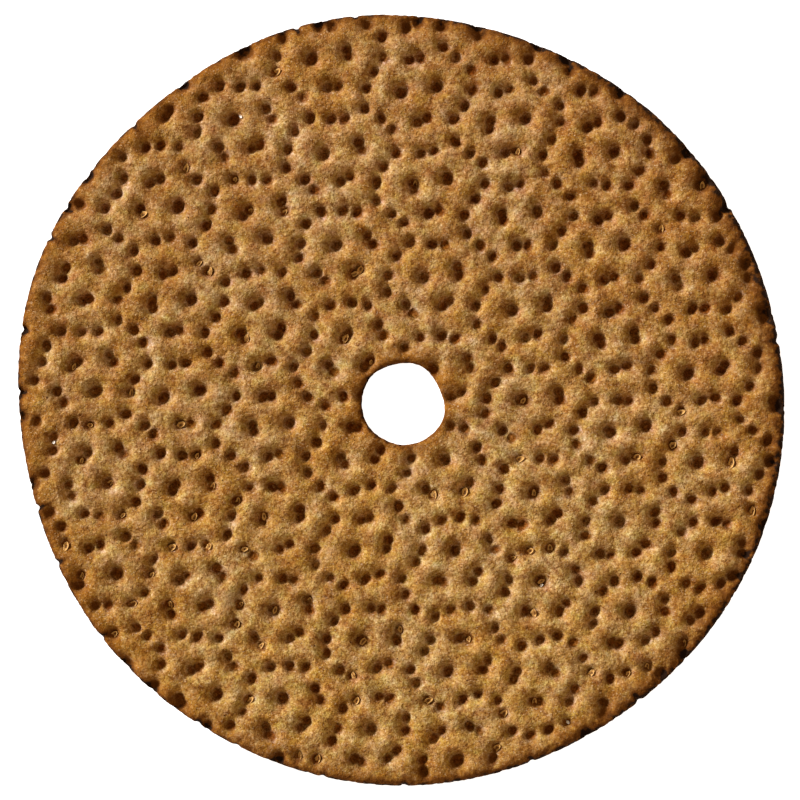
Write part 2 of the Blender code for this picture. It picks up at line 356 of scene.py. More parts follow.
# Where each colour of the crust begins and is full, and then its least and most share.
BROAD_RANGE = (0.38, 0.62)
TOASTED_RANGE = (0.45, 0.80, 0.0, 0.70)
RUST_RANGE = (0.49, 0.34, 0.0)
PALE_RANGE = (0.51, 0.66, 0.0)
HUE_RANGE = (0.33, 0.67)
WARMTH_RANGE = (0.35, 0.65)
BOWL_SHADE_RANGE = (0.3, 1.0, 0.0, 0.45)
EDGE_RANGE = (0.10, 0.7, 0.0, 0.8)
GRAIN_RANGE = (0.33, 0.67)
EVEN_GRAIN_RANGE = (0.50, 0.80, 0.0, 0.4)
OUT_OF_PIT_RANGE = (0.2, 0.8, 1.0, 0.7)
MEAL_RANGE = (0.60, 0.70, 0.0, 0.6)
BRAN_RANGE = (0.39, 0.30, 0.0, 0.55)
DUST_RANGE = (0.55, 0.70)
DUST_GRAIN_RANGE = (0.45, 0.65)
DUST_STRENGTH = 0.40
PIT_RAGGEDNESS = 0.4
PIT_SHADE_RANGE = (0.40, 0.98)
PIT_TINT_RANGE = (0.70, 1.18)
FLECK_RANGE = (0.35, 0.65)
FLECKED_RANGE = (0.30, 0.80)
CRUMB_RANGE = (0.35, 0.7, 0.0, 0.7)
RAGGED_CHAR_RANGE = (0.34, 0.66, 0.45, 1.55)
TOASTED_CHAR_RANGE = (0.25, 0.75, 0.75, 1.25)
RIM_BROWN_RANGE = (0.12, 0.85, 0.0, 0.94)
CHAR_RANGE = (1.05, 1.9, 0.0, 0.95)
CRUST_ROUGHNESS = 0.8
CRUST_SPECULAR = 0.02

# Bran: brown inside, straw coloured at its edge, and white where it glints.
STRAW = (0.70, 0.40, 0.125, 1.0)
HUSK_BROWN = (0.17, 0.070, 0.015, 1.0)
GLINT_WHITE = (0.95, 0.90, 0.84, 1.0)
STREAK_NOISE = (0.9, 2.0)
STREAK_STRENGTH = 0.8
STRAW_RANGE = (0.50, 0.75)
BRAN_ROUGHNESS = 0.6
BRAN_SPECULAR = 0.15

Flake = namedtuple("Flake", "place length width heading lift paleness")


def step_vector(length, heading):
    """A step as x and y, from its length and its heading in degrees."""
    return np.array([length * math.cos(math.radians(heading)),
                     length * math.sin(math.radians(heading))])


def wavy_radius(mean_radius, waves, angles):
    """The radius of a wavy round outline at the given angles, in radians."""
    radius = np.full(np.shape(angles), mean_radius)
    for count, height, heading in waves:
        radius = radius + height * np.cos(count * (angles - math.radians(heading)))
    return radius


def pass_of_pins(docking, draw):
    """The places of one pass's pins, on a grid that drifts a little towards the rim."""
    along = step_vector(*docking["along"])
    across = step_vector(*docking["across"])
    reach = range(-GRID_REACH, GRID_REACH + 1)
    cells = np.array([(i, j) for i in reach for j in reach], dtype=float)
    grid = np.array(docking["origin"]) + cells[:, :1] * along + cells[:, 1:] * across
    grid = grid[np.hypot(grid[:, 0], grid[:, 1]) < RIM_RADIUS + PINS_PAST_RIM]
    x, y = (grid / RIM_RADIUS).T
    drift = np.stack([x * x, x * y, y * y], axis=1) @ np.array(docking["drift"])
    return grid + drift + draw.normal(0.0, PIN_STRAY, grid.shape)


def merge_double_hits(pins):
    """Pins of the two passes that fall in one hole become one pin of double weight."""
    places = []
    weights = []
    for pin in pins:
        gaps = [math.dist(pin, place) for place in places]
        if gaps and min(gaps) < PINS_ALONE:
            twin = gaps.index(min(gaps))
            places[twin] = (places[twin] + pin) / 2.0
            weights[twin] = 2.0
        else:
            places.append(pin)
            weights.append(1.0)
    return np.array(places), np.array(weights)


def outline_bites(pins, draw):
    """The angle and depth of each bite that a pin hole takes out of the rim."""
    angles = np.arctan2(pins[:, 1], pins[:, 0])
    gaps = wavy_radius(RIM_RADIUS, RIM_WAVES, angles) - np.hypot(pins[:, 0], pins[:, 1])
    depths = BITE_DEPTH * (1.0 - np.abs(gaps) / BITE_REACH) * draw.uniform(*BITE_SHARES, len(pins))
    biting = depths > LEAST_BITE
    return np.stack([angles[biting], depths[biting]], axis=1)


def rounded_edge(distance, width, drop):
    """How far a quarter-round edge has dropped at a distance from it."""
    share = np.clip(1.0 - distance / width, 0.0, 1.0)
    return drop * (1.0 - np.sqrt(1.0 - share ** 2))


def rough(points, size, octaves=2):
    """Smooth noise from -1 to 1 at each point, with bumps of about the given size."""
    slice_height = NOISE_SLICE * size
    return np.array([noise.fractal(Vector((x / size, y / size, slice_height)), 1.0, 2.0, octaves)
                     for x, y in points])


class Crust:
    """The pins that reach the bread and the height of the crust that they leave."""

    def __init__(self):
        draw = np.random.default_rng(SEED)
        pins = np.concatenate([pass_of_pins(FIRST_PASS, draw), pass_of_pins(SECOND_PASS, draw)])
        pins, weights = merge_double_hits(pins)
        self.bites = outline_bites(pins, draw)
        self.shift = np.zeros(2)
        self.shift = self.outline_middle()
        inside = self.rim_distance(pins) > PIN_CLEARANCE
        inside &= self.hole_distance(pins) > PIN_CLEARANCE
        self.pins = pins[inside]
        self.weights = weights[inside]
        self.depths = PIT_DEPTH * draw.normal(1.0, PIT_SPREAD, len(self.pins))
        self.reaches = PIT_REACH * DOUBLE_PIT_GROWTH ** (self.weights - 1.0)
        self.stretches = 1.0 + PIT_STRETCH * draw.uniform(0.0, 1.0, len(self.pins))
        headings = draw.uniform(0.0, math.pi, len(self.pins))
        self.cosines = np.cos(headings)
        self.sines = np.sin(headings)
        # How strongly each pit is painted dark, as stain and as painted shade.
        self.stain_and_shade_strengths = draw.uniform(*PIT_STAIN_AND_SHADE_STRENGTHS, len(self.pins))

    def rim_radius(self, angles):
        """The rim's radius, with the bites of the pin holes."""
        radius = wavy_radius(RIM_RADIUS, RIM_WAVES, angles)
        for bite_angle, depth in self.bites:
            turn = (angles - bite_angle + math.pi) % (2.0 * math.pi) - math.pi
            across = np.minimum(np.abs(turn) * RIM_RADIUS / BITE_HALF_WIDTH, 1.0)
            radius = radius - depth * (0.5 + 0.5 * np.cos(math.pi * across))
        return radius

    def hole_radius(self, angles):
        """The hole's radius round its own centre."""
        return wavy_radius(HOLE_RADIUS, HOLE_WAVES, angles)

    def outline_middle(self):
        """The middle of the box round the outline."""
        angles = np.linspace(0.0, 2.0 * math.pi, OUTLINE_SAMPLES, endpoint=False)
        radius = self.rim_radius(angles)
        outline = np.stack([radius * np.cos(angles), radius * np.sin(angles)], axis=1)
        return (outline.max(axis=0) + outline.min(axis=0)) / 2.0

    def rim_distance(self, points):
        """How far each point is inside the rim."""
        angles = np.arctan2(points[:, 1], points[:, 0])
        return self.rim_radius(angles) - np.hypot(points[:, 0], points[:, 1])

    def hole_distance(self, points):
        """How far each point is outside the hole."""
        offset = points - np.array(HOLE_CENTRE)
        angles = np.arctan2(offset[:, 1], offset[:, 0])
        return np.hypot(offset[:, 0], offset[:, 1]) - self.hole_radius(angles)

    def frayed_rim(self, angles):
        """The rim's radius with fine chips, and nowhere outside the solid's outline."""
        chips = RIM_FRAY * rough(ring(ORIGIN, RIM_RADIUS, angles), FRAY_SIZE, FRAY_OCTAVES)
        return self.rim_radius(angles) - np.maximum(RIM_FRAY_INSET + chips, LEAST_INSET)

    def frayed_hole(self, angles):
        """The hole's radius with fine chips."""
        chips = HOLE_FRAY * rough(ring(ORIGIN, HOLE_RADIUS, angles), FRAY_SIZE, FRAY_OCTAVES)
        return self.hole_radius(angles) + np.maximum(chips, -MOST_HOLE_CHIP)

    def bite_depth(self, angles):
        """How deep the bites are at each angle."""
        return wavy_radius(RIM_RADIUS, RIM_WAVES, angles) - self.rim_radius(angles)

    def height(self, points, pressed=None):
        """The height of the top at each point."""
        height = np.full(len(points), THICKNESS - sum(rise for _, rise, _ in SWELLS))
        for length, rise, heading in SWELLS:
            height += rise * np.sin(2.0 * math.pi * (points @ step_vector(1.0, heading)) / length)
        rim_gap = self.rim_distance(points)
        hole_gap = self.hole_distance(points)
        height -= rounded_edge(rim_gap, RIM_ROUND, RIM_DROP)
        height -= rounded_edge(hole_gap, HOLE_ROUND, HOLE_DROP)
        bowls, pits, _ = pressed or self.pressed(points)
        inland = np.clip(np.minimum(rim_gap, hole_gap) / EDGE_PRESS_REACH, 0.0, 1.0)
        height -= (BOWL_DEPTH * bowls + pits) * (EDGE_PRESS + (1.0 - EDGE_PRESS) * inland)
        for size, rise in LUMPS:
            height += rise * rough(points, size)
        return np.clip(height, THINNEST, TALLEST)

    def toast(self, points):
        """How much more than the average the crust is toasted at each point."""
        toast = BAKE_SPAN * (points @ step_vector(1.0, BAKE_HEADING)) / RIM_RADIUS
        toast += TOAST * np.exp(-self.rim_distance(points) / TOAST_REACH)
        toast += HOLE_TOAST * np.exp(-self.hole_distance(points) / EDGE_REACH)
        for x, y, reach, rise in TOAST_PATCHES:
            gaps = np.hypot(points[:, 0] - x, points[:, 1] - y)
            toast += rise * np.exp(-(gaps / reach) ** 2)
        return toast

    def pressed(self, points):
        """How deep the bowls and the pits are at each point, and how near a pit's middle it is."""
        bowls = np.zeros(len(points))
        pits = np.zeros(len(points))
        near = np.zeros(len(points))
        wobble = rough(points, PIT_WOBBLE_SIZE)
        for start in range(0, len(points), CHUNK):
            part = slice(start, start + CHUNK)
            x = points[part, None, 0] - self.pins[:, 0]
            y = points[part, None, 1] - self.pins[:, 1]
            force = (self.weights * np.exp(-(x * x + y * y) / BOWL_REACH ** 2)).sum(axis=1)
            bowls[part] = np.minimum(force, MOST_BOWLS)
            along = (x * self.cosines + y * self.sines) / self.stretches
            across = (y * self.cosines - x * self.sines) * self.stretches
            gaps = np.hypot(along, across) * (1.0 + PIT_WOBBLE * wobble[part, None])
            share = np.exp(-(gaps / self.reaches) ** PIT_STEEPNESS)
            pits[part] = ((self.depths * share) ** PIT_BLEND).sum(axis=1) ** (1.0 / PIT_BLEND)
            near[part] = (self.stain_and_shade_strengths * share).max(axis=1)
        return bowls, pits, near


def spread_out(points, taken, gap):
    """Those of the points, in order, that keep the gap to the taken ones and to each other."""
    cells = {}
    for x, y in taken:
        cells.setdefault((int(x // gap), int(y // gap)), []).append((x, y))
    chosen = []
    limit = gap * gap
    for x, y in points:
        column = int(x // gap)
        row = int(y // gap)
        clear = True
        for i in (column - 1, column, column + 1):
            for j in (row - 1, row, row + 1):
                for u, v in cells.get((i, j), ()):
                    if (u - x) * (u - x) + (v - y) * (v - y) < limit:
                        clear = False
        if clear:
            cells.setdefault((column, row), []).append((x, y))
            chosen.append((x, y))
    return np.array(chosen).reshape(-1, 2)


def triangle_grid(spacing, radius):
    """The points of a triangular grid that covers a circle round the origin."""
    rows = int(radius / spacing) + 2
    points = [((i + 0.5 * (j % 2)) * spacing, j * spacing * math.sqrt(0.75))
              for j in range(-rows - rows // 4, rows + rows // 4) for i in range(-rows, rows + 1)]
    return np.array([point for point in points if math.hypot(*point) < radius])


def ring(centre, radius, angles):
    """Points at a radius, one for all or one each, round a centre."""
    x = centre[0] + radius * np.cos(angles)
    y = centre[1] + radius * np.sin(angles)
    return np.stack([x, y], axis=1)


def even_turns(radius, spacing):
    """Angles all the way round, spaced evenly along a circle of the radius."""
    count = int(2.0 * math.pi * radius / spacing)
    return np.linspace(0.0, 2.0 * math.pi, count, endpoint=False)


def plan_triangles(rim, hole, inner):
    """Triangles in plan between the rim and the hole through the inner points."""
    points = [Vector(point) for point in np.concatenate([rim, hole, inner])]
    rim_loop = list(range(len(rim)))
    hole_loop = list(range(len(rim), len(rim) + len(hole)))
    corners, _, faces, _, _, loops_round_face = delaunay_2d_cdt(
        points, [], [rim_loop, hole_loop], INNER_TRIANGLES, PLAN_TOLERANCE)
    if len(corners) != len(points):
        raise RuntimeError("the plan has points that coincide")
    return [face for face, loops in zip(faces, loops_round_face) if list(loops) == [0]]


def facing_up(face, points):
    """The face's corners in the order that turns to the left, seen from above."""
    a, b, c = (points[index] for index in face)
    turn = (b[0] - a[0]) * (c[1] - a[1]) - (b[1] - a[1]) * (c[0] - a[0])
    return list(face) if turn > 0.0 else list(face)[::-1]


def top_points(crust, rim, hole):
    """The inner points of the top: rings down each pit, rows along the edges, and the field."""
    draw = np.random.default_rng(SEED + 1)
    turns = even_turns(RIM_RADIUS, RIM_SPACING)
    hole_turns = even_turns(HOLE_RADIUS, RIM_SPACING)
    rows = [ring(ORIGIN, crust.rim_radius(turns) - inset, turns) for inset in RIM_ROWS]
    rows += [ring(HOLE_CENTRE, crust.hole_radius(hole_turns) + inset, hole_turns)
             for inset in RIM_ROWS]
    pits = [crust.pins]
    for number, pin in enumerate(crust.pins):
        for radius, count in PIT_RINGS:
            start = PIT_TURN * number + radius
            pits.append(ring(pin, radius, start + np.arange(count) * 2.0 * math.pi / count))
    field = triangle_grid(FIELD_SPACING, RIM_RADIUS + FIELD_MARGIN)
    field = field + draw.uniform(-FIELD_JITTER, FIELD_JITTER, field.shape)
    gaps = np.concatenate([
        np.linalg.norm(part[:, None] - crust.pins, axis=2).min(axis=1)
        for part in np.array_split(field, FIELD_PARTS)])
    field = field[gaps > FIELD_CLEARANCE]
    candidates = np.concatenate(rows + pits + [field])
    inside = crust.rim_distance(candidates) > RIM_GAP
    inside &= crust.hole_distance(candidates) > HOLE_GAP
    return spread_out(candidates[inside], np.concatenate([rim, hole]), NEAREST_POINTS)


def new_verts(bm, places, heights):
    """A vertex at each place and height, both in millimetres."""
    return [bm.verts.new((x * MM, y * MM, z * MM)) for (x, y), z in zip(places, heights)]


def side_wall(bm, top, heights, places_at, undercut, outward):
    """Rows of vertices down a side, and the faces between them.

    Returns the vertices of the lowest row and their places.
    """
    above = top
    for row in range(1, WALL_ROWS + 1):
        share = row / WALL_ROWS
        lean = undercut * (1.0 - math.sqrt(1.0 - share ** 2))
        places = places_at(lean)
        below = new_verts(bm, places, heights * (1.0 - share))
        for k in range(len(top)):
            after = (k + 1) % len(top)
            quad = [below[k], below[after], above[after], above[k]]
            if not outward:
                quad.reverse()
            bm.faces.new(quad)
        above = below
    return above, places


def baked_values(crust, plan, pressed):
    """What the crust's material reads at each point of the top, by name."""
    bowls, _, near = pressed
    rim_gap = crust.rim_distance(plan)
    hole_gap = crust.hole_distance(plan)
    headings = np.arctan2(plan[:, 1], plan[:, 0])
    # Char and painted shade: the rim darkens most on the side away from the light.
    rim_char_and_shade = wavy_radius(RIM_BAKE_AND_SHADE, RIM_BAKE_AND_SHADE_WAVES, headings)
    # Scorch round the hole, and painted shade on its side turned from the light.
    hole_scorch_and_shade = wavy_radius(HOLE_SCORCH_AND_SHADE, HOLE_SCORCH_AND_SHADE_WAVES, headings)
    return {
        "bowl": bowls / MOST_BOWLS,
        "pit": near,
        "edge": np.exp(-np.minimum(rim_gap, hole_gap) / EDGE_REACH),
        "char_and_shade": (rim_char_and_shade * np.exp(-rim_gap / CHAR_REACH) + SCORCH * np.exp(-rim_gap / SCORCH_REACH)
                 + PIT_CHAR * near * np.exp(-rim_gap / PIT_CHAR_REACH)
                 + HOLE_CHAR * np.exp(-hole_gap / HOLE_CHAR_REACH)
                 + hole_scorch_and_shade * np.exp(-hole_gap / SCORCH_REACH)
                 + BITE_CHAR * crust.bite_depth(headings) * np.exp(-rim_gap / BITE_CHAR_REACH)),
        "toast": crust.toast(plan),
        "upper": 0.5 + 0.5 * plan[:, 1] / RIM_RADIUS,
    }


def crust_mesh(crust):
    """The closed mesh of the bread, with what its material reads at each vertex."""
    turns = even_turns(RIM_RADIUS, RIM_SPACING)
    hole_turns = even_turns(HOLE_RADIUS, RIM_SPACING)
    rim_radii = crust.frayed_rim(turns)
    hole_radii = crust.frayed_hole(hole_turns)
    rim = ring(ORIGIN, rim_radii, turns)
    hole = ring(HOLE_CENTRE, hole_radii, hole_turns)
    inner = top_points(crust, rim, hole)
    plan = np.concatenate([rim, hole, inner])
    pressed = crust.pressed(plan)
    height = crust.height(plan, pressed)

    bm = bmesh.new()
    top = new_verts(bm, plan - crust.shift, height)
    for face in plan_triangles(rim, hole, inner):
        bm.faces.new([top[index] for index in facing_up(face, plan)])
    on_rim = slice(0, len(rim))
    on_hole = slice(len(rim), len(rim) + len(hole))
    low_rim, low_rim_places = side_wall(
        bm, top[on_rim], height[on_rim],
        lambda lean: ring(ORIGIN, rim_radii - lean, turns) - crust.shift, RIM_UNDERCUT, True)
    low_hole, low_hole_places = side_wall(
        bm, top[on_hole], height[on_hole],
        lambda lean: ring(HOLE_CENTRE, hole_radii + lean, hole_turns) - crust.shift,
        HOLE_UNDERCUT, False)
    wall_end = len(bm.verts)

    under = triangle_grid(UNDERSIDE_SPACING, RIM_RADIUS - UNDERSIDE_RIM_GAP)
    under = under[crust.hole_distance(under) > UNDERSIDE_HOLE_GAP]
    bumps = rough(under, UNDERSIDE_BUMPS, UNDERSIDE_OCTAVES)
    under_places = under - crust.shift
    base = low_rim + low_hole
    base += new_verts(bm, under_places, UNDERSIDE_RELIEF * np.maximum(bumps, 0.0))
    base_plan = np.concatenate([low_rim_places, low_hole_places, under_places])
    for face in plan_triangles(low_rim_places, low_hole_places, under_places):
        bm.faces.new([base[index] for index in facing_up(face, base_plan)[::-1]])

    mesh = bpy.data.meshes.new("crispbread_crust")
    bm.to_mesh(mesh)
    bm.free()
    mesh.shade_smooth()
    on_walls = {"edge": WALL_BAKE, "char_and_shade": WALL_BAKE}
    on_base = {"toast": crust.toast(under) + UNDERSIDE_TOAST}
    for name, on_top in baked_values(crust, plan, pressed).items():
        values = np.zeros(len(mesh.vertices), dtype=np.float32)
        values[:len(plan)] = on_top
        values[len(plan):wall_end] = on_walls.get(name, 0.0)
        values[wall_end:] = on_base.get(name, 0.0)
        mesh.attributes.new(name, "FLOAT", "POINT").data.foreach_set("value", values)
    return mesh


def sheet_faces(columns, rows):
    """Faces that close a thin sheet: a grid of corners, the same grid below it, and its margin."""
    count = columns * rows
    faces = []
    for i in range(columns - 1):
        for j in range(rows - 1):
            a = i * rows + j
            faces.append((a, a + rows, a + rows + 1, a + 1))
            faces.append((count + a, count + a + 1, count + a + rows + 1, count + a + rows))
    margin = list(range(rows)) + [i * rows + rows - 1 for i in range(1, columns)]
    margin += [(columns - 1) * rows + j for j in range(rows - 2, -1, -1)]
    margin += [i * rows for i in range(columns - 2, 0, -1)]
    for here, after in zip(margin, margin[1:] + margin[:1]):
        faces.append((here, after, count + after, count + here))
    return faces


def flake_corners(length, width):
    """The corners of a thin cupped leaf round the origin, uneven like torn bran."""
    columns, rows = FLAKE_GRID
    corners = []
    for side in (0.0, 1.0):
        for u in np.linspace(-1.0, 1.0, columns):
            widest = 0.5 * width * max(FLAKE_TIP, (1.0 - u * u) ** FLAKE_TAPER)
            for v in np.linspace(-1.0, 1.0, rows):
                turn = FLAKE_TEAR_START * length + FLAKE_TEAR_TURN * u * math.copysign(1.0, v)
                half = widest * (1.0 + FLAKE_TEAR * v * math.sin(turn))
                cup = FLAKE_CUP * width * ((2.0 * half * v / width) ** 2 + u * u) ** 2
                corners.append((0.5 * length * u, half * v, cup - side * FLAKE_THICKNESS))
    return np.array(corners)


def laid_on(crust, shape, flake):
    """A flake's corners, turned to lie on the crust at its place and lifted clear of it."""
    around = flake.place + np.array([(0.0, 0.0), (SLOPE_STEP, 0.0), (0.0, SLOPE_STEP)])
    here, right, above = crust.height(around)
    normal = Vector(((here - right) / SLOPE_STEP, (here - above) / SLOPE_STEP, 1.0))
    turn = normal.normalized().to_track_quat("Z", "X").to_matrix()
    spin = Matrix.Rotation(math.radians(flake.heading) - turn.to_euler().z, 3, "Z")
    corners = shape @ np.array(turn @ spin).T
    corners[:, :2] += flake.place
    foot = np.hypot(shape[:, 0], shape[:, 1]) < FLAKE_FOOT * np.ptp(shape[:, 0])
    rise = (crust.height(corners[foot, :2]) - corners[foot, 2]).max()
    corners[:, 2] = np.minimum(corners[:, 2] + (rise + flake.lift), TALLEST)
    return corners


def scattered_flakes(crust):
    """The bran flakes by the lit side of their pits, and the glints at their own places."""
    draw = np.random.default_rng(SEED + 2)
    x, y = (crust.pins / RIM_RADIUS).T
    chance = 1.0 + FLAKE_CROWDING * (y < FLAKES_BELOW) + FLAKE_CROWDING * (x < FLAKES_LEFT_OF)
    chance[crust.rim_distance(crust.pins) < FLAKE_EDGE_GAP] = 0.0
    chance[crust.hole_distance(crust.pins) < FLAKE_EDGE_GAP] = 0.0
    chosen = draw.choice(len(crust.pins), FLAKES, replace=False, p=chance / chance.sum())
    flakes = []
    for pin in crust.pins[chosen]:
        length = draw.uniform(*FLAKE_LENGTHS)
        away = step_vector(draw.uniform(*FLAKE_OFFSETS), draw.uniform(*FLAKE_OFFSET_HEADINGS))
        heading = FLAKE_HEADING + draw.uniform(-FLAKE_TURN, FLAKE_TURN)
        width = length * draw.uniform(*FLAKE_SLIMNESS)
        flakes.append(Flake(pin + away, length, width, heading, draw.uniform(*FLAKE_LIFTS), 0.0))
    for glint in GLINTS:
        flakes.append(Flake(np.array(glint) + crust.shift, GLINT_LENGTH,
                            GLINT_LENGTH * GLINT_SLIMNESS, draw.uniform(*GLINT_HEADINGS), 0.0, 1.0))
    return flakes


def flake_mesh(crust):
    """All the bran flakes, with how pale they are and how near its edge each corner is."""
    sheet = sheet_faces(*FLAKE_GRID)
    corners = []
    faces = []
    pale = []
    margin = []
    for flake in scattered_flakes(crust):
        start = len(corners)
        faces += [tuple(start + index for index in face) for face in sheet]
        shape = flake_corners(flake.length, flake.width)
        for x, y, z in laid_on(crust, shape, flake):
            corners.append(((x - crust.shift[0]) * MM, (y - crust.shift[1]) * MM, z * MM))
        pale += [flake.paleness] * len(shape)
        margin += [(2.0 * x / flake.length) ** 2 + (2.0 * y / flake.width) ** 2
                   for x, y, _ in shape]
    mesh = bpy.data.meshes.new("bran_flakes")
    mesh.from_pydata(corners, [], faces)
    mesh.shade_smooth()
    for name, values in (("pale", pale), ("margin", margin)):
        mesh.attributes.new(name, "FLOAT", "POINT").data.foreach_set("value", values)
    return mesh


def fill(tree, socket, value):
    """An input set to a value, or linked to a socket."""
    if isinstance(value, bpy.types.NodeSocket):
        tree.links.new(value, socket)
    else:
        socket.default_value = value


def node(tree, kind, inputs=None, **settings):
    """A shader node with its settings, and its inputs as values or as sockets to link."""
    made = tree.nodes.new(kind)
    for name, value in settings.items():
        setattr(made, name, value)
    for name, value in (inputs or {}).items():
        fill(tree, made.inputs[name], value)
    return made


def mixed(tree, share, first, second, mode="MIX"):
    """The colour between two colours by a share."""
    made = node(tree, "ShaderNodeMix", data_type="RGBA", blend_type=mode)
    factor, one, other = (made.inputs[index] for index in (0, 6, 7))
    fill(tree, factor, share)
    fill(tree, one, first)
    fill(tree, other, second)
    return made.outputs[2]


def tinted(tree, share, colour, tint):
    """A colour multiplied by a tint, by a share."""
    return mixed(tree, share, colour, tint, "MULTIPLY")


def speckle(tree, place, size, detail=2.0, roughness=0.5):
    """Noise from 0 to 1 with specks of a size in millimetres."""
    made = node(tree, "ShaderNodeTexNoise", {
        "Vector": place, "Scale": 1.0 / (size * MM), "Detail": detail, "Roughness": roughness})
    return made.outputs["Fac"]


def ranged(tree, value, low, high, out_low=0.0, out_high=1.0, smooth=False):
    """A value mapped from one range to another, and held at its ends."""
    made = node(tree, "ShaderNodeMapRange", {
        "Value": value, "From Min": low, "From Max": high, "To Min": out_low, "To Max": out_high},
        interpolation_type="SMOOTHSTEP" if smooth else "LINEAR")
    return made.outputs["Result"]


def reckoned(tree, operation, first, second):
    """Two values joined by an operation."""
    made = node(tree, "ShaderNodeMath", operation=operation)
    fill(tree, made.inputs[0], first)
    fill(tree, made.inputs[1], second)
    return made.outputs[0]


def times(tree, first, second):
    """The product of two values."""
    return reckoned(tree, "MULTIPLY", first, second)


def plus(tree, first, second):
    """The sum of two values."""
    return reckoned(tree, "ADD", first, second)


def given(tree, name):
    """What the mesh says at each vertex under a name."""
    return node(tree, "ShaderNodeAttribute", attribute_name=name).outputs["Fac"]


def holding(tree, cells, share):
    """The share of a pattern's cells that hold something, softly as 0 to 1."""
    tone = node(tree, "ShaderNodeSeparateColor", {"Color": cells.outputs["Color"]}).outputs["Red"]
    return ranged(tree, tone, 1.0 - share, 1.0 - (1.0 - FAINT_SPECKS) * share)


def specks(tree, place, size, share, radius):
    """Scattered round specks: cells of a size in millimetres, the share of them that hold one."""
    cells = node(tree, "ShaderNodeTexVoronoi", {"Vector": place, "Scale": 1.0 / (size * MM)})
    near = ranged(tree, cells.outputs["Distance"], radius / size, SPECK_CORE * radius / size)
    return times(tree, near, holding(tree, cells, share))


def strokes(tree, place, heading, length, width, share):
    """Scattered short fibres that lie along a heading."""
    turned = node(tree, "ShaderNodeMapping", {
        "Vector": place, "Rotation": (0.0, 0.0, math.radians(-heading)),
        "Scale": (1.0 / (length * MM), 1.0 / (width * MM), 1.0 / (width * MM))})
    cells = node(tree, "ShaderNodeTexVoronoi", {"Vector": turned.outputs["Vector"], "Scale": 1.0})
    near = ranged(tree, cells.outputs["Distance"], *FIBRE_RANGE)
    return times(tree, near, holding(tree, cells, share))


def bent(tree, place):
    """Places bent by a fine noise, so that specks and fibres aren't neat."""
    bend = node(tree, "ShaderNodeTexNoise", {"Vector": place, "Scale": 1.0 / (GRIT_BEND_SIZE * MM)})
    added = node(tree, "ShaderNodeVectorMath", operation="MULTIPLY_ADD")
    fill(tree, added.inputs[0], bend.outputs["Color"])
    fill(tree, added.inputs[1], (GRIT_BEND * MM, GRIT_BEND * MM, GRIT_BEND * MM))
    fill(tree, added.inputs[2], place)
    return added.outputs["Vector"]


def baked_colour(tree, place, toast):
    """Broad patches and smaller toasted ones, mottles, painted shade in the bowls and orange edges.
    """
    colour = mixed(tree, ranged(tree, speckle(tree, place, *BROAD_NOISE), *BROAD_RANGE), GOLD, TAN)
    colour = mixed(tree, ranged(tree, toast, *TOASTED_RANGE), colour, TOASTED)
    for size, strength in MOTTLES:
        mottle = speckle(tree, place, size, *MOTTLE_NOISE)
        colour = tinted(tree, ranged(tree, mottle, *RUST_RANGE, strength), colour, RUST_TINT)
        colour = tinted(tree, ranged(tree, mottle, *PALE_RANGE, strength), colour, PALE_TINT)
    hue = ranged(tree, speckle(tree, place, *HUE_NOISE), *HUE_RANGE)
    warmth = ranged(tree, speckle(tree, place, *WARMTH_NOISE), *WARMTH_RANGE)
    for share, first, second in (
            (hue, FULL_TINT, DULL_TINT),
            (warmth, RED_TINT, OLIVE_TINT),
            (given(tree, "upper"), LOWER_TINT, UPPER_TINT)):
        colour = tinted(tree, 1.0, colour, mixed(tree, share, first, second))
    # Painted shade: the bowls are browned and darkened by how deep they are.
    colour = mixed(tree, ranged(tree, given(tree, "bowl"), *BOWL_SHADE_RANGE), colour, BOWL_SHADE_BROWN)
    return mixed(tree, ranged(tree, given(tree, "edge"), *EDGE_RANGE), colour, ORANGE)


def grain_tint(tree, place, toast):
    """The fine grain as a tint, more even where the crust is toasted."""
    grain = ranged(tree, speckle(tree, place, *GRAIN_NOISE), *GRAIN_RANGE)
    tint = mixed(tree, grain, DARK_GRAIN, LIGHT_GRAIN)
    return mixed(tree, ranged(tree, toast, *EVEN_GRAIN_RANGE), tint, MEAN_GRAIN)


def with_meal(tree, colour, place, grit, pit):
    """Meal and bran in the dough, pale fibres, floury patches, and pores painted dark as their
    shade.
    """
    out_of_pit = ranged(tree, pit, *OUT_OF_PIT_RANGE)
    added = [(ranged(tree, speckle(tree, grit, *MEAL_NOISE), *MEAL_RANGE), MEAL),
             (ranged(tree, speckle(tree, place, *BRAN_NOISE), *BRAN_RANGE), BRAN)]
    added += [(times(tree, strokes(tree, grit, *fibre), FIBRE_STRENGTH), FLOUR) for fibre in FIBRES]
    for share, tone in added:
        colour = mixed(tree, times(tree, share, out_of_pit), colour, tone)
    dusty = times(tree, ranged(tree, speckle(tree, place, *DUST_NOISE), *DUST_RANGE),
                  ranged(tree, speckle(tree, grit, *DUST_GRAIN_NOISE), *DUST_GRAIN_RANGE))
    colour = mixed(tree, times(tree, dusty, DUST_STRENGTH), colour, FLOUR)
    # Painted shade of tiny pores, as dark dots.
    return mixed(tree, specks(tree, grit, *SHADED_PORES), colour, PORE_SHADE)


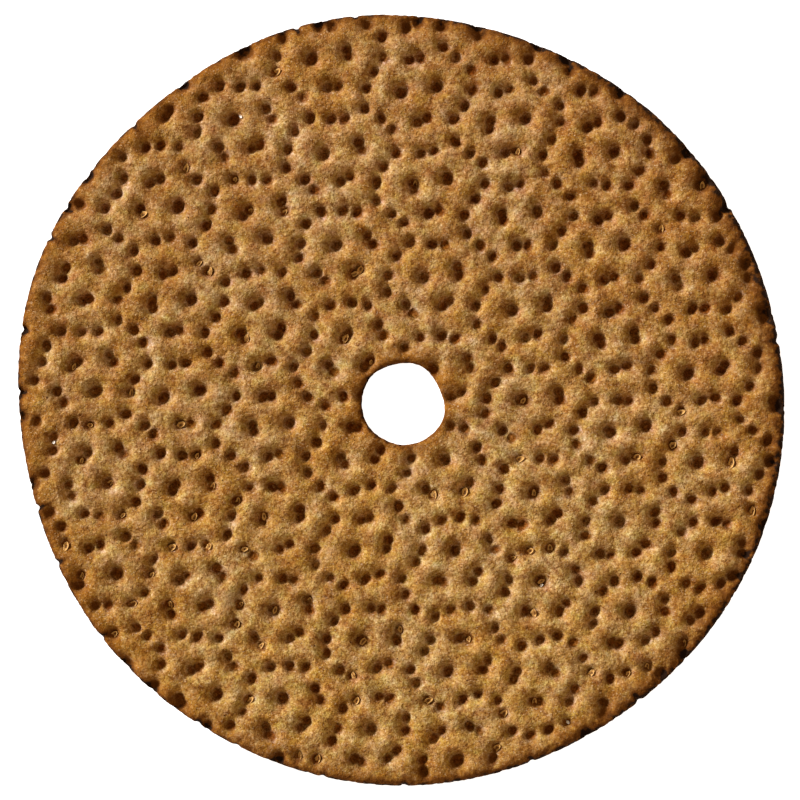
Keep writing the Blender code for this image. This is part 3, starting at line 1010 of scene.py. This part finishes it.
def with_pits(tree, colour, place, grit, pit, ragged):
    """Pits that darken and brown towards their bottoms, partly their own darker crust and partly
    painted shade, flecked, with crumbs in them.
    """
    stain_and_shade = plus(tree, pit, times(tree, ragged, PIT_RAGGEDNESS))
    # Painted shade, with the pits' own darker crust: the colour darkens and reddens towards a pit's
    # middle.
    for limits, tint in ((PIT_SHADE_RANGE, PIT_SHADE), (PIT_TINT_RANGE, PIT_TINT_AND_SHADE)):
        colour = tinted(tree, ranged(tree, stain_and_shade, *limits, smooth=True), colour, tint)
    flecks = ranged(tree, speckle(tree, place, *FLECK_NOISE), *FLECK_RANGE)
    flecks = mixed(tree, flecks, DARK_FLECK, LIGHT_FLECK)
    colour = tinted(tree, ranged(tree, stain_and_shade, *FLECKED_RANGE), colour, flecks)
    crumbs = times(tree, specks(tree, grit, *CRUMBS), ranged(tree, pit, *CRUMB_RANGE))
    return mixed(tree, crumbs, colour, CRUMB)


def with_char_and_shade(tree, colour, grain, toast, ragged):
    """The browned rim and its ragged char, with painted shade mixed into both on the sides away
    from the light.
    """
    # Char, and painted shade on the rim and hole sides turned from the light.
    burnt_and_shaded = times(tree, given(tree, "char_and_shade"), ranged(tree, ragged, *RAGGED_CHAR_RANGE))
    burnt_and_shaded = times(tree, burnt_and_shaded, ranged(tree, toast, *TOASTED_CHAR_RANGE))
    rim_brown = tinted(tree, 1.0, grain, RIM_BROWN)
    colour = mixed(tree, ranged(tree, burnt_and_shaded, *RIM_BROWN_RANGE), colour, rim_brown)
    return mixed(tree, ranged(tree, burnt_and_shaded, *CHAR_RANGE), colour, CHAR)


def crust_material():
    """Baked rye crust: gold on the ridges, painted shade in the bowls, pits dark brown by crust and
    painted shade.
    """
    material = bpy.data.materials.new("rye_crust")
    material.use_nodes = True
    tree = material.node_tree
    shader = tree.nodes["Principled BSDF"]
    place = node(tree, "ShaderNodeTexCoord").outputs["Object"]
    grit = bent(tree, place)
    pit = given(tree, "pit")
    toast = plus(tree, speckle(tree, place, *TOAST_NOISE), given(tree, "toast"))
    ragged = speckle(tree, place, *RAGGED_NOISE)
    grain = grain_tint(tree, place, toast)
    colour = tinted(tree, 1.0, baked_colour(tree, place, toast), grain)
    colour = with_meal(tree, colour, place, grit, pit)
    colour = with_pits(tree, colour, place, grit, pit, ragged)
    colour = with_char_and_shade(tree, colour, grain, toast, ragged)
    fill(tree, shader.inputs["Base Color"], colour)
    fill(tree, shader.inputs["Roughness"], CRUST_ROUGHNESS)
    fill(tree, shader.inputs["Specular IOR Level"], CRUST_SPECULAR)
    normal = None
    for size, height in BUMPS:
        bump = node(tree, "ShaderNodeBump", {
            "Height": speckle(tree, place, size, *BUMP_NOISE),
            "Strength": BUMP_STRENGTH, "Distance": height * MM})
        if normal:
            fill(tree, bump.inputs["Normal"], normal)
        normal = bump.outputs["Normal"]
    fill(tree, shader.inputs["Normal"], normal)
    return material


def flake_material():
    """Thin bran: brown inside and straw coloured at its edge, with a slight gloss."""
    material = bpy.data.materials.new("bran")
    material.use_nodes = True
    tree = material.node_tree
    shader = tree.nodes["Principled BSDF"]
    place = node(tree, "ShaderNodeTexCoord").outputs["Object"]
    streaks = times(tree, speckle(tree, place, *STREAK_NOISE), STREAK_STRENGTH)
    straw = ranged(tree, plus(tree, streaks, given(tree, "margin")), *STRAW_RANGE)
    colour = mixed(tree, straw, HUSK_BROWN, STRAW)
    colour = mixed(tree, given(tree, "pale"), colour, GLINT_WHITE)
    fill(tree, shader.inputs["Base Color"], colour)
    fill(tree, shader.inputs["Roughness"], BRAN_ROUGHNESS)
    fill(tree, shader.inputs["Specular IOR Level"], BRAN_SPECULAR)
    return material


def add_object(name, mesh, material):
    """An object of a mesh with its material, in the scene."""
    made = bpy.data.objects.new(name, mesh)
    mesh.materials.append(material)
    bpy.context.scene.collection.objects.link(made)
    return made


def add_floor():
    """A plain pale floor under the bread."""
    material = bpy.data.materials.new("pale_floor")
    material.use_nodes = True
    shader = material.node_tree.nodes["Principled BSDF"]
    shader.inputs["Base Color"].default_value = FLOOR_COLOUR
    shader.inputs["Roughness"].default_value = FLOOR_ROUGHNESS
    shader.inputs["Emission Color"].default_value = WHITE
    shader.inputs["Emission Strength"].default_value = FLOOR_GLOW
    bpy.ops.mesh.primitive_plane_add(size=FLOOR_SIZE, location=(0.0, 0.0, -FLOOR_DROP))
    floor = bpy.context.object
    floor.name = "floor"
    floor.data.materials.append(material)


def add_light():
    """A soft sun from the upper left over an even sky."""
    lamp = bpy.data.lights.new("sun", "SUN")
    lamp.energy = SUN_STRENGTH
    lamp.color = SUN_COLOUR
    lamp.angle = math.radians(SUN_SOFTNESS)
    sun = bpy.data.objects.new("sun", lamp)
    heading = math.radians(SUN_HEADING)
    height = math.radians(SUN_HEIGHT)
    towards = Vector((math.cos(heading) * math.cos(height),
                      math.sin(heading) * math.cos(height), math.sin(height)))
    sun.rotation_mode = "QUATERNION"
    sun.rotation_quaternion = towards.to_track_quat("Z", "Y")
    bpy.context.scene.collection.objects.link(sun)
    world = bpy.data.worlds.new("studio")
    world.use_nodes = True
    background = world.node_tree.nodes["Background"]
    background.inputs["Color"].default_value = SKY_COLOUR
    background.inputs["Strength"].default_value = SKY_STRENGTH
    bpy.context.scene.world = world


def add_camera(middle):
    """A camera straight above the middle of the outline's circle."""
    lens = bpy.data.cameras.new("camera")
    lens.lens = LENS
    lens.sensor_width = SENSOR
    lens.clip_end = CAMERA_REACH
    camera = bpy.data.objects.new("camera", lens)
    height = FRAME_WIDTH * LENS / SENSOR + OUTLINE_PLANE
    camera.location = (-middle[0] * MM, -middle[1] * MM, height * MM)
    bpy.context.scene.collection.objects.link(camera)
    bpy.context.scene.camera = camera


def main():
    """The bread in its studio."""
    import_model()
    bpy.context.scene.view_settings.view_transform = "Standard"
    crust = Crust()
    add_camera(crust.shift)
    bread = add_object("crispbread_crust", crust_mesh(crust), crust_material())
    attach(bread, "root")
    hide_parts("crispbread")
    flakes = add_object("bran_flakes", flake_mesh(crust), flake_material())
    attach(flakes, "root")
    add_floor()
    add_light()


main()
